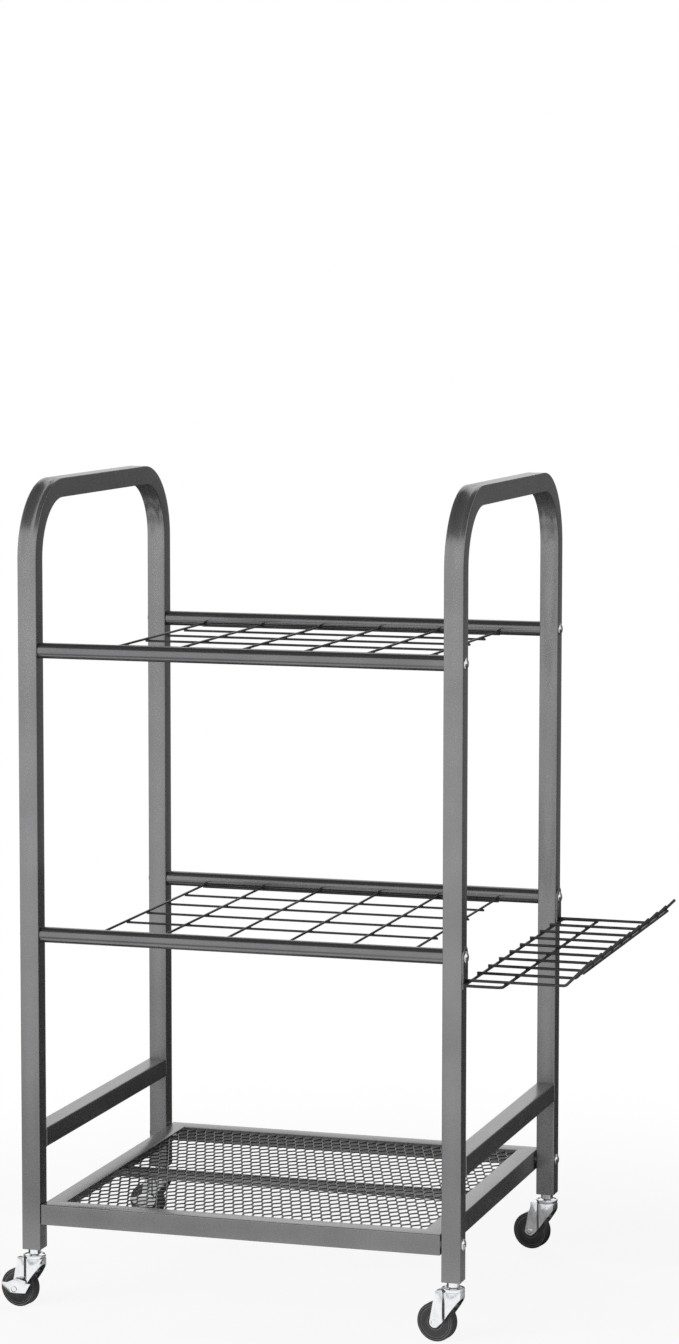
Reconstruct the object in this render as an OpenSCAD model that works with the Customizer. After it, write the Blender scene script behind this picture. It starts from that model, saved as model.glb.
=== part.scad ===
// Rolling garden tool rack, in millimetres, at real size.
// Two inverted U frames of square tube stand on four swivel casters. Four round rods join
// them and carry two welded wire grids, over a shelf of expanded mesh in an angle frame.
// A wire side tray hangs on the right-hand frame.
// X runs along the front to the right, Y to the rear, Z up. The origin is on the floor,
// under the middle of the overall outline.

/* [Frame] */
// Width over the two side frames
rack_w = 468; // [400:1:560]
// Depth over the posts
rack_d = 408; // [370:1:480]
// Height from the floor to the top of the side frames
rack_h = 855; // [800:1:1000]
// Side of the square tube
tube = 20; // [19:0.5:22]
// Wall of the square tube
tube_wall = 1.5; // [1.2:0.1:2]
// Outer corner radius of the square tube
tube_corner_r = 1.2; // [0.8:0.1:1.2]
// Centre-line radius of the top bends
bend_r = 70; // [50:1:90]
// Depth of the crease that the bending leaves
crease_depth = 1; // [0.5:0.1:1.2]
// Width of that crease
crease_w = 11; // [8:0.5:13]
// Height of the low side rails, at their centre line
side_rail_z = 177.2; // [150:0.1:230]

/* [Rods and bolts] */
// Outside diameter of the cross rods
rod_d = 16; // [14:0.5:18]
// Wall of the cross rods
rod_wall = 1.2; // [1:0.1:1.5]
// Height of the upper rods
upper_rod_z = 683; // [640:1:720]
// Height of the middle rods
middle_rod_z = 391; // [340:1:440]
// Length of the threaded insert in each rod end
insert_l = 25; // [20:1:35]
// Diameter of the bolt shanks
bolt_d = 6; // [5:0.5:7]
// Diameter of the bolt heads
bolt_head_d = 12.5; // [11:0.1:14]
// Height of the domed bolt heads
bolt_head_h = 3; // [2.5:0.1:4]
// Width across the flats of the hex socket in the heads
socket_w = 4; // [3:0.1:4.5]
// Depth of the hex socket
socket_depth = 1.6; // [1:0.1:2]
// How far the rod bolts reach into the inserts
thread_reach = 16; // [12:1:20]

/* [Grids] */
// Diameter of the grid wires
grid_wire_d = 2.5; // [2:0.1:3]
// Spacing of the wires that run front to rear
grid_pitch_x = 67; // [60:1:70]
// Number of wires that run front to rear
grid_long_n = 6; // [4:1:6]
// Spacing of the wires that run side to side
grid_pitch_y = 61.67; // [55:0.01:61.8]
// Number of wires that run side to side
grid_cross_n = 7; // [5:1:7]
// How far the front-to-rear wires lie below the rod centres
grid_drop = 4; // [3:0.1:5]
// How far the side-to-side wires reach past the outer wires
grid_overhang = 2.5; // [1:0.1:6]

/* [Shelf] */
// Height of the shelf frame's top face
shelf_top_z = 111.2; // [105:0.1:125]
// Width of the angle's flat top flange
angle_w = 20; // [18:0.5:25]
// Height of the angle's outer flange
angle_h = 21; // [19:0.5:25]
// Thickness of the angle
angle_t = 1.5; // [1.2:0.1:2]
// Gap between the shelf frame and each post, filled by washers
shelf_gap = 1.25; // [0.8:0.05:2]
// Thickness of the raised expanded mesh
mesh_t = 3; // [2:0.1:3.5]
// How far the mesh reaches under the top flanges
mesh_lap = 12; // [8:0.5:13]
// Length of one mesh diamond, front to rear
diamond_l = 61.6; // [50:0.1:70]
// Width of one mesh diamond, side to side
diamond_w = 21; // [18:0.1:26]
// Width of the mesh strands
strand_w = 2.6; // [2:0.1:3.5]
// Side of the square bar under the mesh
crossbar_s = 10; // [8:0.5:14]
// Across the flats of the shelf nuts
nut_af = 10; // [9:0.1:11]
// Height of the shelf nuts
nut_h = 5; // [4:0.1:6]
// Diameter of the spacer washers
washer_d = 12; // [10:0.1:14]

/* [Side tray] */
// Diameter of the tray wires
tray_wire_d = 3; // [2.6:0.1:3.5]
// Number of wires that stick out of the frame
tray_n = 10; // [6:1:10]
// Spacing of those wires
tray_pitch = 43; // [40:0.5:43]
// How far the tray wires lie below the middle rods
tray_drop = 23; // [20:0.5:26]
// Length of the flat part, from the post face to the bend
tray_flat = 100.5; // [80:0.5:130]
// Straight length of the upturned lip
tray_lip = 35; // [25:0.5:50]
// Angle of the lip above the flat part
tray_lip_angle = 45; // [30:1:60]
// Bend radius of the tray wires, at their centre line
tray_bend_r = 6; // [5:0.5:10]
// Width of the wire ring under the flat part, at the centre lines
ring_w = 39; // [30:0.5:60]
// Length of that ring front to rear, at the centre lines
ring_l = 414; // [405:1:440]
// Corner radius of the ring, at its centre line
ring_corner_r = 5; // [4:0.5:10]
// Width of the hanging tabs
tab_w = 18; // [15:0.5:19]
// Thickness of the hanging tabs
tab_t = 1.5; // [1.2:0.1:2.5]
// Height of the tabs above the bolt centre
tab_rise = 11; // [9.5:0.5:14]
// Reach of the tabs below the bolt centre
tab_reach = 31; // [30:0.5:36]

/* [Casters] */
// Height of the caster from the floor to the post
caster_h = 63; // [62:0.5:70]
// Wheel diameter
wheel_d = 40; // [36:0.5:41]
// Width of the wheel
wheel_w = 12; // [10:0.5:12]
// Horizontal distance from the swivel axis to the axle
trail = 17.5; // [16.5:0.5:19]
// Angle at which the casters stand, from the rack's width
caster_yaw = 10; // [0:1:45]
// Diameter of the swivel head
head_d = 23.4; // [22:0.1:26]
// Diameter of the stem
stem_d = 8; // [7:0.1:9]
// Diameter of the collar under the post
collar_d = 13; // [12:0.1:15]
// Height of the collar
collar_h = 6; // [5:0.5:7]
// Length of the stem inside the post
stem_l = 18; // [14:0.5:20]
// Thickness of the fork sheet
fork_t = 1.2; // [1:0.1:1.4]
// Width of the fork inside its legs
fork_inner_w = 12.8; // [12.6:0.1:13.4]
// Radius of the round end of the fork legs
fork_end_r = 5.4; // [5:0.1:6]
// Diameter of the axle
axle_d = 4.8; // [4:0.1:5.2]
// Diameter of the axle rivet's heads
rivet_head_d = 6.2; // [5.8:0.1:8]
// Thickness of the brake lever
lever_t = 1; // [0.8:0.1:1.2]
// Number of balls in each swivel bearing
ball_n = 12; // [8:1:14]

/* [Hidden] */
$fn = 48;

// Clearances
overrun = 1;
slip_fit = 0.05;
bolt_play = 0.2;
weld_gap = 0.05;
moving_gap = 0.3;

// Finishes
coat = [0.27, 0.27, 0.28];
wire_coat = [0.2, 0.2, 0.21];
zinc = [0.8, 0.81, 0.83];
black_plastic = [0.1, 0.1, 0.1];
wheel_black = [0.2, 0.2, 0.2];

// Frame places
post_x = (rack_w - tube) / 2;
post_y = (rack_d - tube) / 2;
post_inner_x = post_x - tube / 2;
post_outer_x = post_x + tube / 2;
bend_z = rack_h - tube / 2 - bend_r;
top_straight_l = 2 * (post_y - bend_r);
crease_r = (pow(crease_w / 2, 2) + pow(crease_depth, 2)) / (2 * crease_depth);

// Rods, bolts and grids
rod_inner_r = rod_d / 2 - rod_wall;
bolt_r = bolt_d / 2;
head_rim_h = 0.8;
head_dome_h = bolt_head_h - head_rim_h;
head_dome_r = (pow(bolt_head_d / 2, 2) + pow(head_dome_h, 2)) / (2 * head_dome_h);
grid_wire_r = grid_wire_d / 2;
rod_seat = sqrt(pow(rod_d / 2, 2) - pow(grid_drop - grid_wire_r, 2));
long_wire_l = 2 * (post_y - rod_seat - weld_gap);
cross_drop = grid_drop + grid_wire_d + weld_gap;
cross_wire_l = (grid_long_n - 1) * grid_pitch_x + 2 * grid_overhang;

// Shelf places
shelf_half_x = post_inner_x - shelf_gap;
shelf_half_y = rack_d / 2;
shelf_bolt_z = shelf_top_z - angle_h / 2;
mesh_top_z = shelf_top_z - angle_t;
mesh_half_x = shelf_half_x - angle_w + mesh_lap;
mesh_half_y = shelf_half_y - angle_w + mesh_lap;
diamond_rows = ceil(mesh_half_y / diamond_l) + 1;
diamond_columns = ceil(mesh_half_x / diamond_w) + 1;
mesh_rim = 2.5;

// Tray places
tray_wire_r = tray_wire_d / 2;
tray_z = middle_rod_z - tray_drop;
tray_start_x = post_outer_x + tab_t + weld_gap;
tray_bend_x = post_outer_x + tray_flat;
ring_z = tray_z - tray_wire_d - weld_gap;
ring_start_x = tray_start_x + tray_wire_r;
lip_wire_share = 0.57;
tray_wires_y = [for (k = [0:tray_n - 1]) (k - (tray_n - 1) / 2) * tray_pitch];

// Caster places, along the trail and up
wheel_r = wheel_d / 2;
wheel_shoulder_r = 1.5;
wheel_bore_r = axle_d / 2 + slip_fit;
collar_z = caster_h - collar_h;
head_gap = 0.6;
head_z = collar_z - head_gap;
head_h = 3.6;
head_rim_t = 2.3;
head_dish = 1;
head_lip = 1.3;
head_step = 0.5;
fork_top_z = head_z - head_h;
pin_bore_r = stem_d / 2 + slip_fit;
fork_half = fork_inner_w / 2 + fork_t;
fork_lap = 0.3;
fork_fold = sqrt(pow(head_d / 2 - fork_t, 2) - pow(fork_inner_w / 2, 2)) + fork_lap;
fork_nose_back = 0.9;
fork_nose = trail - fork_nose_back;
fork_nose_drop = 6;
fork_brow_front = 1.5;
fork_brow_drop = 11.6;
fork_heel_drop = 3.4;
fork_heel_z = fork_top_z - fork_heel_drop;
fork_knee_back = 12.5;
fork_knee_rise = 4.5;
fork_end_front = 12;
fork_end_back = 225;
fork_end_in = 0.995;
ball_d = 2.4;
ball_circle_r = 7;
race_r = 9;
race_h = 2.2;
race_top_z = fork_top_z - fork_t - ball_d - 2 * slip_fit;
lever_s = head_d / 2 + 2 * moving_gap;
lever_front = 15.4;
lever_back = 13.3;
lever_top = 11.5;
lever_top_back = 9.5;
lever_low = 4.3;
lever_low_back = 3;
lever_peak = 2.5;
lever_dip = 8.4;
lever_nose_top = 6.3;
lever_nose_r = 12.8;
lever_bend = 6;
lever_flange = 6;
lever_flange_top = 7.3;
lever_boss_r = 3.6;
rivet_head_h = 0.8;

// Overall outline, for the origin
caster_reach_x = (trail + wheel_r - wheel_shoulder_r) * cos(caster_yaw)
    + (wheel_w / 2 - wheel_shoulder_r) * sin(caster_yaw) + wheel_shoulder_r;
caster_reach_y = (trail + wheel_r - wheel_shoulder_r) * sin(caster_yaw)
    + (wheel_w / 2 - wheel_shoulder_r) * cos(caster_yaw) + wheel_shoulder_r;
tray_tip_x = tray_bend_x + tray_lip * cos(tray_lip_angle)
    + (tray_bend_r + tray_wire_r) * sin(tray_lip_angle);
outline_left = -post_x - caster_reach_x;
outline_right = tray_tip_x;
outline_front = -max(ring_l / 2 + tray_wire_r, rack_d / 2);
outline_rear = max(post_y + caster_reach_y, ring_l / 2 + tray_wire_r);
outline_mid = [(outline_left + outline_right) / 2, (outline_front + outline_rear) / 2, 0];

// Shared helpers

// Moves a piece from the rack's middle to the origin of the whole part
module placed() {
    translate(-outline_mid) children();
}

module both_x() {
    children();
    mirror([1, 0, 0]) children();
}

module both_y() {
    children();
    mirror([0, 1, 0]) children();
}

// A round bar of length l and radius r along X, and one along Y
module bar_x(l, r) {
    rotate([0, 90, 0]) cylinder(h = l, r = r);
}

module bar_y(l, r) {
    rotate([-90, 0, 0]) cylinder(h = l, r = r);
}

module rounded_square(side, r) {
    square([side, side - 2 * r], center = true);
    square([side - 2 * r, side], center = true);
    for (x = [-1, 1])
        for (y = [-1, 1])
            translate([x, y] * (side / 2 - r)) circle(r);
}

module tube_section() {
    difference() {
        rounded_square(tube, tube_corner_r);
        square(tube - 2 * tube_wall, center = true);
    }
}

// The section in the bends: the outer and inner walls are drawn in
module creased_section() {
    difference() {
        rounded_square(tube, tube_corner_r);
        for (side = [-1, 1])
            translate([side * (tube / 2 + crease_r - crease_depth), 0]) circle(crease_r, $fn = 96);
        difference() {
            square(tube - 2 * tube_wall, center = true);
            for (side = [-1, 1])
                translate([side * (tube / 2 + crease_r - crease_depth), 0])
                    circle(crease_r + tube_wall, $fn = 96);
        }
    }
}

// Side frames

module side_frame() {
    difference() {
        union() {
            both_y() translate([0, post_y, caster_h])
                linear_extrude(bend_z - caster_h) tube_section();
            both_y() translate([0, post_y - bend_r, bend_z])
                rotate([90, 0, 90])
                    rotate_extrude(angle = 90) translate([bend_r, 0]) creased_section();
            translate([0, 0, bend_z + bend_r]) rotate([90, 0, 0])
                linear_extrude(top_straight_l, center = true) tube_section();
        }
        for (z = [upper_rod_z, middle_rod_z, shelf_bolt_z])
            both_y() translate([-tube / 2 - overrun, post_y, z])
                bar_x(tube + 2 * overrun, bolt_r + bolt_play);
    }
}

module left_frame_tube() {
    color(coat) placed() translate([-post_x, 0, 0]) side_frame();
}

module right_frame_tube() {
    color(coat) placed() translate([post_x, 0, 0]) side_frame();
}

module side_rail() {
    rotate([90, 0, 0]) linear_extrude(2 * post_y - tube, center = true) tube_section();
}

module left_side_rail() {
    color(coat) placed() translate([-post_x, 0, side_rail_z]) side_rail();
}

module right_side_rail() {
    color(coat) placed() translate([post_x, 0, side_rail_z]) side_rail();
}

// Rods with threaded inserts and their bolts

module rod(y_side, z) {
    color(coat) placed() translate([-post_inner_x, y_side * post_y, z])
        difference() {
            bar_x(2 * post_inner_x, rod_d / 2);
            translate([-overrun, 0, 0]) bar_x(2 * (post_inner_x + overrun), rod_inner_r);
        }
}

module upper_front_rod() {
    rod(-1, upper_rod_z);
}

module upper_rear_rod() {
    rod(1, upper_rod_z);
}

module middle_front_rod() {
    rod(-1, middle_rod_z);
}

module middle_rear_rod() {
    rod(1, middle_rod_z);
}

module rod_end_inserts() {
    color(zinc) placed()
        for (z = [upper_rod_z, middle_rod_z])
            both_y() both_x() translate([post_inner_x - insert_l, post_y, z])
                difference() {
                    bar_x(insert_l, rod_inner_r - slip_fit);
                    translate([-overrun, 0, 0]) bar_x(insert_l + 2 * overrun, bolt_r + slip_fit);
                }
}

// A domed bolt whose head sits on X = 0 and whose shank points to -X
module bolt(shank) {
    translate([-shank, 0, 0]) bar_x(shank, bolt_r);
    difference() {
        rotate([0, 90, 0]) rotate_extrude()
            intersection() {
                square([bolt_head_d / 2, bolt_head_h]);
                translate([0, bolt_head_h - head_dome_r]) circle(head_dome_r, $fn = 96);
            }
        translate([bolt_head_h - socket_depth, 0, 0]) rotate([0, 90, 0])
            cylinder(h = socket_depth + overrun, d = socket_w / cos(30), $fn = 6);
    }
}

module upper_bolts() {
    color(zinc) placed()
        both_y() both_x() translate([post_outer_x, post_y, upper_rod_z]) bolt(tube + thread_reach);
}

module middle_bolts() {
    color(zinc) placed()
        both_y() {
            mirror([1, 0, 0]) translate([post_outer_x, post_y, middle_rod_z]) bolt(tube + thread_reach);
            translate([post_outer_x + tab_t, post_y, middle_rod_z]) bolt(tube + tab_t + thread_reach);
        }
}

// Wire grids

module grid_long_wires(rod_z) {
    color(wire_coat) placed()
        for (k = [0:grid_long_n - 1])
            translate([(k - (grid_long_n - 1) / 2) * grid_pitch_x, -long_wire_l / 2, rod_z - grid_drop])
                bar_y(long_wire_l, grid_wire_r);
}

module grid_cross_wires(rod_z) {
    color(wire_coat) placed()
        for (k = [0:grid_cross_n - 1])
            translate([-cross_wire_l / 2, (k - (grid_cross_n - 1) / 2) * grid_pitch_y, rod_z - cross_drop])
                bar_x(cross_wire_l, grid_wire_r);
}

module upper_grid_long_wires() {
    grid_long_wires(upper_rod_z);
}

module upper_grid_cross_wires() {
    grid_cross_wires(upper_rod_z);
}

module middle_grid_long_wires() {
    grid_long_wires(middle_rod_z);
}

module middle_grid_cross_wires() {
    grid_cross_wires(middle_rod_z);
}

// Shelf

// An angle rail along X whose outer edge is at -Y, mitred at both ends
module angle_rail(half_l, edge) {
    translate([0, 0, shelf_top_z - angle_h])
        intersection() {
            linear_extrude(angle_h)
                polygon([[-half_l, -edge], [half_l, -edge],
                    [half_l - angle_w, -edge + angle_w], [-half_l + angle_w, -edge + angle_w]]);
            union() {
                translate([-half_l, -edge, angle_h - angle_t]) cube([2 * half_l, angle_w, angle_t]);
                translate([-half_l, -edge, 0]) cube([2 * half_l, angle_t, angle_h]);
            }
        }
}

module side_angle_rail() {
    difference() {
        rotate([0, 0, 90]) angle_rail(shelf_half_y, shelf_half_x);
        both_y() translate([shelf_half_x - angle_t - overrun, post_y, shelf_bolt_z])
            bar_x(angle_t + 2 * overrun, bolt_r + bolt_play);
    }
}

module shelf_front_rail() {
    color(coat) placed() angle_rail(shelf_half_x, shelf_half_y);
}

module shelf_rear_rail() {
    color(coat) placed() mirror([0, 1, 0]) angle_rail(shelf_half_x, shelf_half_y);
}

module shelf_right_rail() {
    color(coat) placed() side_angle_rail();
}

module shelf_left_rail() {
    color(coat) placed() mirror([1, 0, 0]) side_angle_rail();
}

module diamond() {
    half_w = (diamond_w - strand_w) / 2;
    half_l = half_w * diamond_l / diamond_w;
    polygon([[-half_w, 0], [0, -half_l], [half_w, 0], [0, half_l]]);
}

// Rows of diamond openings, every second row set over by half a pitch
module diamonds() {
    intersection() {
        square([2 * (mesh_half_x - mesh_rim), 2 * (mesh_half_y - mesh_rim)], center = true);
        for (row = [-diamond_rows:diamond_rows])
            for (column = [-diamond_columns:diamond_columns])
                for (shift = [0, 1 / 2])
                    translate([(column + shift) * diamond_w, (row + shift) * diamond_l]) diamond();
    }
}

module shelf_mesh() {
    color(wire_coat) placed() translate([0, 0, mesh_top_z - mesh_t])
        linear_extrude(mesh_t)
            difference() {
                square([2 * mesh_half_x, 2 * mesh_half_y], center = true);
                diamonds();
            }
}

module shelf_crossbar() {
    half_l = shelf_half_x - angle_t;
    color(coat) placed() translate([-half_l, -crossbar_s / 2, mesh_top_z - mesh_t - crossbar_s])
        cube([2 * half_l, crossbar_s, crossbar_s]);
}

module shelf_bolts() {
    color(zinc) placed()
        both_y() both_x() translate([post_outer_x, post_y, shelf_bolt_z])
            bolt(tube + shelf_gap + angle_t + nut_h + overrun);
}

module shelf_washers() {
    color(zinc) placed()
        both_y() both_x() translate([shelf_half_x, post_y, shelf_bolt_z])
            difference() {
                bar_x(shelf_gap, washer_d / 2);
                translate([-overrun, 0, 0]) bar_x(shelf_gap + 2 * overrun, bolt_r + bolt_play);
            }
}

module shelf_nuts() {
    color(zinc) placed()
        both_y() both_x() translate([shelf_half_x - angle_t - nut_h, post_y, shelf_bolt_z])
            difference() {
                rotate([0, 90, 0]) cylinder(h = nut_h, d = nut_af / cos(30), $fn = 6);
                translate([-overrun, 0, 0]) bar_x(nut_h + 2 * overrun, bolt_r + slip_fit);
            }
}

// Side tray

module tray_tabs() {
    color(coat) placed()
        both_y() translate([post_outer_x, post_y, middle_rod_z])
            rotate([90, 0, 90])
                difference() {
                    linear_extrude(tab_t) {
                        translate([0, tab_rise - tab_w / 2]) circle(tab_w / 2);
                        translate([-tab_w / 2, -tab_reach]) square([tab_w, tab_reach + tab_rise - tab_w / 2]);
                    }
                    translate([0, 0, -overrun]) cylinder(h = tab_t + 2 * overrun, r = bolt_r + bolt_play);
                }
}

// One quarter of a wire ring's corner, in the XY plane
module wire_corner(bend, r) {
    rotate_extrude(angle = 90) translate([bend, 0]) circle(r);
}

module tray_ring() {
    long_side = ring_l - 2 * ring_corner_r;
    short_side = ring_w - 2 * ring_corner_r;
    color(wire_coat) placed() translate([ring_start_x + ring_w / 2, 0, ring_z]) {
        both_x() translate([ring_w / 2, -long_side / 2, 0]) bar_y(long_side, tray_wire_r);
        both_y() translate([-short_side / 2, ring_l / 2, 0]) bar_x(short_side, tray_wire_r);
        both_x() both_y() translate([short_side / 2, long_side / 2, 0])
            wire_corner(ring_corner_r, tray_wire_r);
    }
}

// One wire in the XZ plane: flat, then turned up to the lip
module tray_wire() {
    translate([tray_start_x, 0, 0]) bar_x(tray_bend_x - tray_start_x, tray_wire_r);
    translate([tray_bend_x, 0, tray_bend_r]) {
        rotate([90, 0, 0]) rotate([0, 0, -90])
            rotate_extrude(angle = tray_lip_angle) translate([tray_bend_r, 0]) circle(tray_wire_r);
        rotate([0, -tray_lip_angle, 0]) translate([0, 0, -tray_bend_r]) bar_x(tray_lip, tray_wire_r);
    }
}

module tray_wires() {
    color(wire_coat) placed()
        for (y = tray_wires_y)
            translate([0, y, tray_z]) tray_wire();
}

module tray_lip_wire() {
    reach = tray_wires_y[tray_n - 1] + tray_wire_r;
    color(wire_coat) placed()
        translate([tray_bend_x, -reach, tray_z + tray_bend_r]) rotate([0, -tray_lip_angle, 0])
            translate([tray_lip * lip_wire_share, 0, -tray_bend_r - tray_wire_d - weld_gap])
                bar_y(2 * reach, tray_wire_r);
}

// Casters

// Puts a caster piece under a post; its X then runs along the trail
module at_post(x_side, y_side) {
    placed() translate([x_side * post_x, y_side * post_y, 0])
        rotate([0, 0, 180 - caster_yaw]) children();
}

module post_end_plugs() {
    color(black_plastic) placed()
        both_y() both_x() translate([post_x, post_y, caster_h])
            difference() {
                linear_extrude(stem_l) square(tube - 2 * (tube_wall + slip_fit), center = true);
                translate([0, 0, -overrun]) cylinder(h = stem_l + 2 * overrun, r = stem_d / 2 + slip_fit);
            }
}

module stem(x_side, y_side) {
    color(zinc) at_post(x_side, y_side) {
        translate([0, 0, race_top_z]) cylinder(h = caster_h + stem_l - race_top_z, d = stem_d);
        translate([0, 0, collar_z]) cylinder(h = collar_h, d = collar_d);
        translate([0, 0, race_top_z - race_h]) cylinder(h = race_h, r = race_r);
    }
}

module head(x_side, y_side) {
    color(zinc) at_post(x_side, y_side)
        difference() {
            union() {
                translate([0, 0, fork_top_z]) cylinder(h = head_h, d = head_d - 2 * head_step);
                translate([0, 0, head_z - head_rim_t]) cylinder(h = head_rim_t, d = head_d);
            }
            translate([0, 0, head_z - head_dish]) cylinder(h = head_dish + overrun, r = head_d / 2 - head_lip);
            translate([0, 0, fork_top_z - overrun]) cylinder(h = head_h + 2 * overrun, r = pin_bore_r);
        }
}

module balls(x_side, y_side) {
    color(zinc) at_post(x_side, y_side)
        for (k = [0:ball_n - 1])
            rotate([0, 0, k * 360 / ball_n])
                translate([ball_circle_r, 0, race_top_z + slip_fit + ball_d / 2]) sphere(d = ball_d);
}

// The fork's side view: slanted heel, and a front edge that widens below the nose
module fork_side() {
    polygon([
        [-head_d / 2 - overrun, fork_heel_z],
        [-head_d / 2 - overrun, fork_top_z],
        [fork_nose, fork_top_z],
        [fork_nose, fork_top_z - fork_nose_drop],
        [trail + fork_brow_front, fork_top_z - fork_brow_drop],
        [trail, wheel_r] + fork_end_in * fork_end_r * [cos(fork_end_front), sin(fork_end_front)],
        [trail, wheel_r] + fork_end_in * fork_end_r * [cos(fork_end_back), sin(fork_end_back)],
        [trail - fork_knee_back, wheel_r + fork_knee_rise]
    ]);
}

// The round back of the fork sheet, about the swivel axis
module fork_back() {
    intersection() {
        linear_extrude(fork_top_z)
            difference() {
                circle(head_d / 2);
                circle(head_d / 2 - fork_t);
                translate([0, -fork_inner_w / 2]) square([head_d, fork_inner_w]);
            }
        rotate([90, 0, 0]) linear_extrude(2 * head_d, center = true) fork_side();
    }
}

// One flat leg, from where it leaves the round back to its round end
module fork_leg() {
    translate([0, fork_half, 0]) rotate([90, 0, 0]) linear_extrude(fork_t)
        intersection() {
            union() {
                fork_side();
                translate([trail, wheel_r]) circle(fork_end_r);
            }
            translate([fork_fold, 0]) square([2 * trail, fork_top_z]);
        }
}

module fork(x_side, y_side) {
    color(zinc) at_post(x_side, y_side)
        difference() {
            union() {
                fork_back();
                both_y() fork_leg();
                translate([0, 0, fork_top_z - fork_t]) linear_extrude(fork_t) {
                    circle(head_d / 2);
                    translate([0, -fork_half]) square([fork_nose, 2 * fork_half]);
                }
            }
            translate([0, 0, fork_top_z - fork_t - overrun]) cylinder(h = fork_t + 2 * overrun, r = pin_bore_r);
            translate([trail, -head_d, wheel_r]) bar_y(2 * head_d, axle_d / 2 + slip_fit);
        }
}

// A riveted axle; a braked caster has a longer one that also holds the lever
module axle(x_side, y_side, braked) {
    near = braked ? lever_s + lever_t + moving_gap : fork_half;
    color(zinc) at_post(x_side, y_side) translate([trail, 0, wheel_r]) {
        translate([0, -fork_half, 0]) bar_y(fork_half + near, axle_d / 2);
        translate([0, -fork_half - rivet_head_h, 0]) bar_y(rivet_head_h, rivet_head_d / 2);
        translate([0, near, 0]) bar_y(rivet_head_h, rivet_head_d / 2);
        if (braked)
            translate([0, fork_half, 0]) bar_y(lever_s - moving_gap - fork_half, lever_boss_r);
    }
}

// Half of the wheel's section, from the axle outwards
module wheel_section() {
    tread_half = wheel_w / 2 - wheel_shoulder_r;
    rim_r = wheel_r - wheel_shoulder_r;
    groove_share = 0.86;
    groove_w = 0.8;
    groove_depth = 0.7;
    hub_share = 0.34;
    difference() {
        union() {
            translate([wheel_bore_r, -wheel_w / 2]) square([rim_r - wheel_bore_r, wheel_w]);
            translate([wheel_bore_r, -tread_half]) square([wheel_r - wheel_bore_r, 2 * tread_half]);
            for (side = [-1, 1])
                translate([rim_r, side * tread_half]) circle(wheel_shoulder_r);
        }
        for (side = [-1, 1]) {
            translate([wheel_r * groove_share, side * wheel_w / 2])
                square([groove_w, 2 * groove_depth], center = true);
            translate([wheel_r * hub_share, side * wheel_w / 2])
                square([groove_w, 2 * groove_depth], center = true);
        }
    }
}

module wheel(x_side, y_side) {
    color(wheel_black) at_post(x_side, y_side) translate([trail, 0, wheel_r])
        rotate([90, 0, 0]) rotate_extrude() wheel_section();
}

// Outline of the brake lever about the axle: round nose in front, fold at the back
module lever_side() {
    intersection() {
        polygon([
            [-lever_back, -lever_low_back], [0, -lever_low], [lever_front, -lever_low],
            [lever_front, lever_nose_top], [lever_dip, lever_nose_top],
            [-lever_peak, lever_top], [-lever_back, lever_top_back]
        ]);
        union() {
            translate([lever_front - lever_nose_r, lever_nose_r - lever_low])
                circle(lever_nose_r, $fn = 96);
            translate([-lever_back, -lever_low])
                square([lever_back + lever_front - lever_nose_r, lever_low + lever_top]);
        }
    }
}

// Lays a flat outline in the XZ plane, as thick as the lever
module lever_sheet() {
    rotate([90, 0, 0]) mirror([0, 0, 1]) linear_extrude(lever_t) children();
}

// A stamped lever beside the wheel that rocks on the axle; its rear flange bends inwards
module brake_lever(x_side, y_side) {
    color(zinc) at_post(x_side, y_side) translate([trail, lever_s, wheel_r])
        difference() {
            union() {
                lever_sheet() lever_side();
                translate([-lever_back, 0, 0]) rotate([0, 0, lever_bend]) lever_sheet()
                    polygon([
                        [0, -lever_low_back], [lever_t, -lever_low_back],
                        [lever_t, lever_flange_top], [-lever_flange, lever_flange_top]
                    ]);
            }
            translate([0, -overrun, 0]) bar_y(lever_t + 2 * overrun, axle_d / 2 + slip_fit);
        }
}

module front_left_stem() {
    stem(-1, -1);
}

module front_left_head() {
    head(-1, -1);
}

module front_left_balls() {
    balls(-1, -1);
}

module front_left_fork() {
    fork(-1, -1);
}

module front_left_axle() {
    axle(-1, -1, true);
}

module front_left_wheel() {
    wheel(-1, -1);
}

module front_left_brake_lever() {
    brake_lever(-1, -1);
}

module front_right_stem() {
    stem(1, -1);
}

module front_right_head() {
    head(1, -1);
}

module front_right_balls() {
    balls(1, -1);
}

module front_right_fork() {
    fork(1, -1);
}

module front_right_axle() {
    axle(1, -1, false);
}

module front_right_wheel() {
    wheel(1, -1);
}

module rear_left_stem() {
    stem(-1, 1);
}

module rear_left_head() {
    head(-1, 1);
}

module rear_left_balls() {
    balls(-1, 1);
}

module rear_left_fork() {
    fork(-1, 1);
}

module rear_left_axle() {
    axle(-1, 1, true);
}

module rear_left_wheel() {
    wheel(-1, 1);
}

module rear_left_brake_lever() {
    brake_lever(-1, 1);
}

module rear_right_stem() {
    stem(1, 1);
}

module rear_right_head() {
    head(1, 1);
}

module rear_right_balls() {
    balls(1, 1);
}

module rear_right_fork() {
    fork(1, 1);
}

module rear_right_axle() {
    axle(1, 1, false);
}

module rear_right_wheel() {
    wheel(1, 1);
}

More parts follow.
